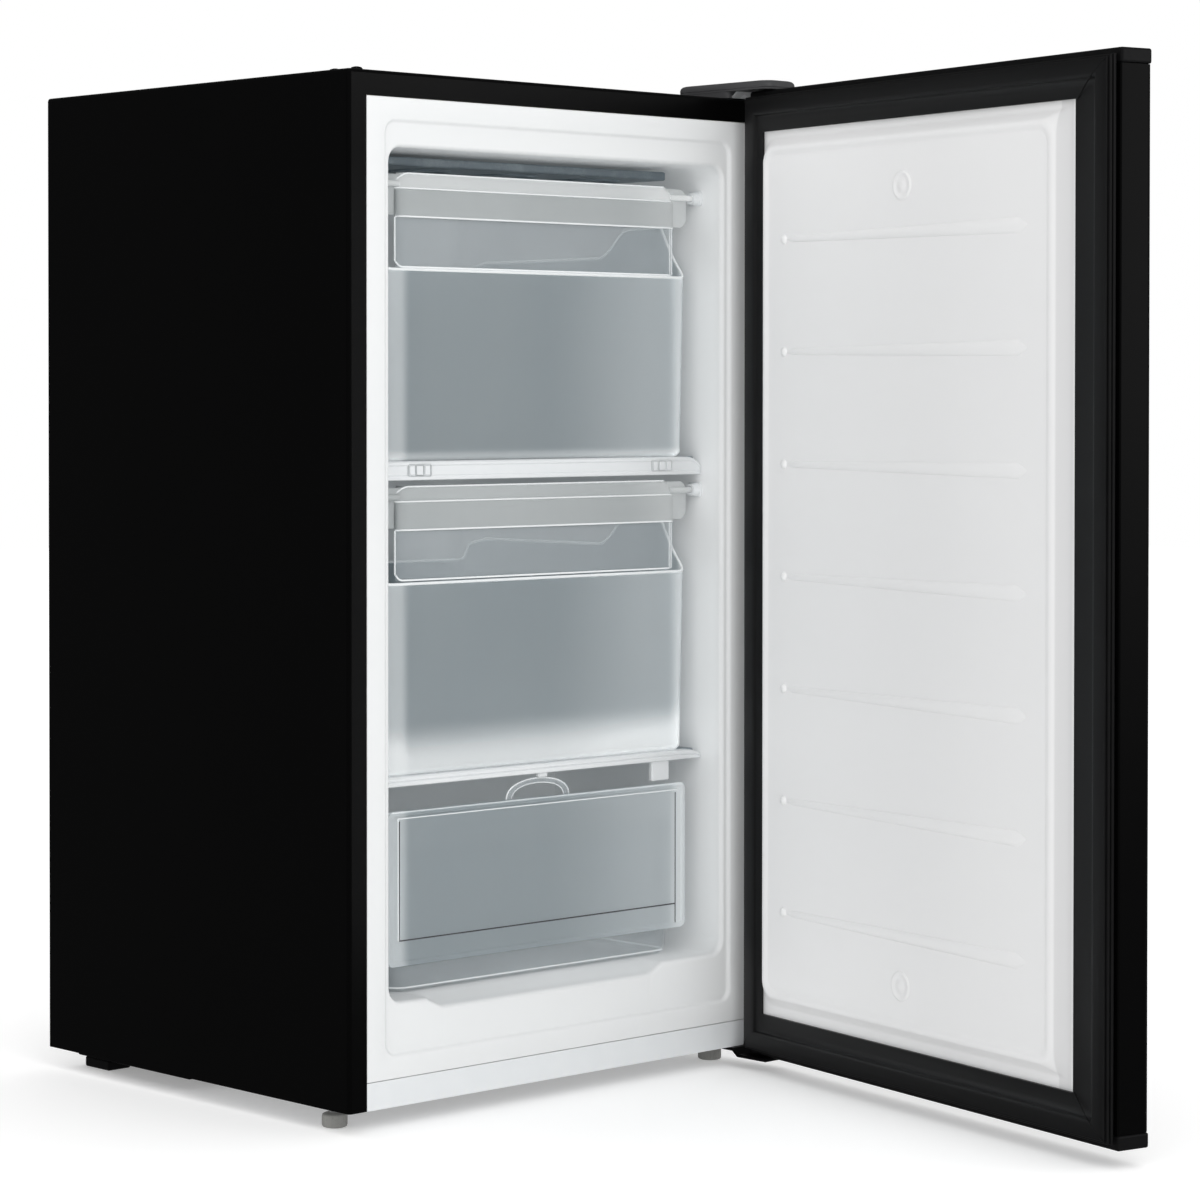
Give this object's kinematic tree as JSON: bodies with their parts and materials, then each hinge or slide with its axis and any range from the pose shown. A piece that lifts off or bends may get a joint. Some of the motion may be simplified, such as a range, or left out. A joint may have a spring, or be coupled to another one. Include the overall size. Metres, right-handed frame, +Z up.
{
  "type": "upright freezer",
  "caption": "Small free-standing freezer, drawn open: side-hinged insulated door, white liner, swing-up flaps over frosted baskets, a deep bottom drawer and a compressor bay.",
  "frame": {"origin": "on the floor, under the middle of the bounding box of the whole freezer with its door open as drawn", "axes": "+Z up, the front faces -Y and the door is hinged on the +X side"},
  "size_m": [0.4728, 0.8902, 0.8545],
  "materials": {
    "black_steel": "satin",
    "black_plastic": "satin",
    "white_plastic": "satin",
    "door_liner_plastic": "satin",
    "foam": "matte",
    "rubber": "matte",
    "galvanised": "satin",
    "aluminium": "satin",
    "frosted_plastic": "matte",
    "clear_plastic": "gloss",
    "grey_plastic": "satin",
    "foot_plastic": "satin",
    "compressor_paint": "satin",
    "copper": "satin"
  },
  "bodies": {
    "cabinet": {"outer_shell": "black_steel", "back_panel": "galvanised", "base_plate": "galvanised", "kick_strip": "white_plastic", "compressor_bay_panel": "galvanised", "compressor_platform": "black_steel", "compressor_body": "compressor_paint", "compressor_terminal_cover": "black_plastic", "drip_tray": "black_plastic", "filter_drier": "copper", "discharge_pipe": "copper", "suction_pipe": "copper", "grommet_front_left": "rubber", "grommet_front_right": "rubber", "grommet_rear_left": "rubber", "grommet_rear_right": "rubber", "thermostat_housing": "grey_plastic", "inner_liner": "white_plastic", "floor_ramp": "white_plastic", "foam_insulation": "foam", "evaporator_top": "aluminium", "evaporator_upper": "aluminium", "evaporator_lower": "aluminium", "shelf_trim_upper": "white_plastic", "shelf_trim_lower": "white_plastic", "flap_bracket_upper_left": "white_plastic", "flap_bracket_upper_right": "white_plastic", "flap_bracket_middle_left": "white_plastic", "flap_bracket_middle_right": "white_plastic", "foot_nut_left": "galvanised", "foot_nut_right": "galvanised", "foot_rear_left": "black_plastic", "foot_rear_right": "black_plastic", "hinge_plate_top": "galvanised", "hinge_screw_front": "galvanised", "hinge_screw_rear": "galvanised", "hinge_cover": "grey_plastic", "hinge_bracket_bottom": "black_steel", "hole_plug_front": "black_plastic", "hole_plug_rear": "black_plastic"},
    "door": {"door_skin": "black_steel", "door_cap_top": "black_plastic", "door_cap_bottom": "black_plastic", "door_foam": "foam", "door_liner": "door_liner_plastic", "door_gasket": "rubber", "hinge_bush_top": "black_plastic", "hinge_bush_bottom": "black_plastic"},
    "upper_flap": {"flap_upper_band": "frosted_plastic", "flap_upper_window": "clear_plastic"},
    "middle_flap": {"flap_middle_band": "frosted_plastic", "flap_middle_window": "clear_plastic"},
    "upper_basket": {"basket_upper": "frosted_plastic"},
    "middle_basket": {"basket_middle": "frosted_plastic"},
    "lower_drawer": {"basket_lower": "clear_plastic", "basket_lower_front": "frosted_plastic"},
    "left_foot": {"foot_front_left": "foot_plastic"},
    "right_foot": {"foot_front_right": "foot_plastic"},
    "dial": {"thermostat_dial": "grey_plastic"}
  },
  "joints": [
    {"name": "door_hinge", "type": "hinge", "parent": "cabinet", "child": "door", "pos_m": [0.22406, 0.01163, 0.43], "axis": [0, 0, 1], "range_deg": [-78.8, 36.2]},
    {"name": "upper_flap_hinge", "type": "hinge", "parent": "cabinet", "child": "upper_flap", "pos_m": [-0.00044, 0.07663, 0.755], "axis": [-1, 0, 0], "range_deg": [0, 85]},
    {"name": "middle_flap_hinge", "type": "hinge", "parent": "cabinet", "child": "middle_flap", "pos_m": [-0.00044, 0.07663, 0.502], "axis": [-1, 0, 0], "range_deg": [0, 85]},
    {"name": "upper_basket_slide", "type": "slide", "parent": "cabinet", "child": "upper_basket", "axis": [0, -1, 0], "range_m": [0, 0.155]},
    {"name": "middle_basket_slide", "type": "slide", "parent": "cabinet", "child": "middle_basket", "axis": [0, -1, 0], "range_m": [0, 0.155]},
    {"name": "lower_drawer_slide", "type": "slide", "parent": "cabinet", "child": "lower_drawer", "axis": [0, -1, 0], "range_m": [0, 0.155]},
    {"name": "left_foot_screw", "type": "hinge", "parent": "cabinet", "child": "left_foot", "pos_m": [-0.21594, 0.08513, 0], "axis": [0, 0, 1], "continuous": true},
    {"name": "right_foot_screw", "type": "hinge", "parent": "cabinet", "child": "right_foot", "pos_m": [0.21506, 0.08513, 0], "axis": [0, 0, 1], "continuous": true},
    {"name": "thermostat_turn", "type": "hinge", "parent": "cabinet", "child": "dial", "pos_m": [0.18156, 0.43413, 0.182], "axis": [0, 1, 0], "range_deg": [-135, 135]}
  ]
}
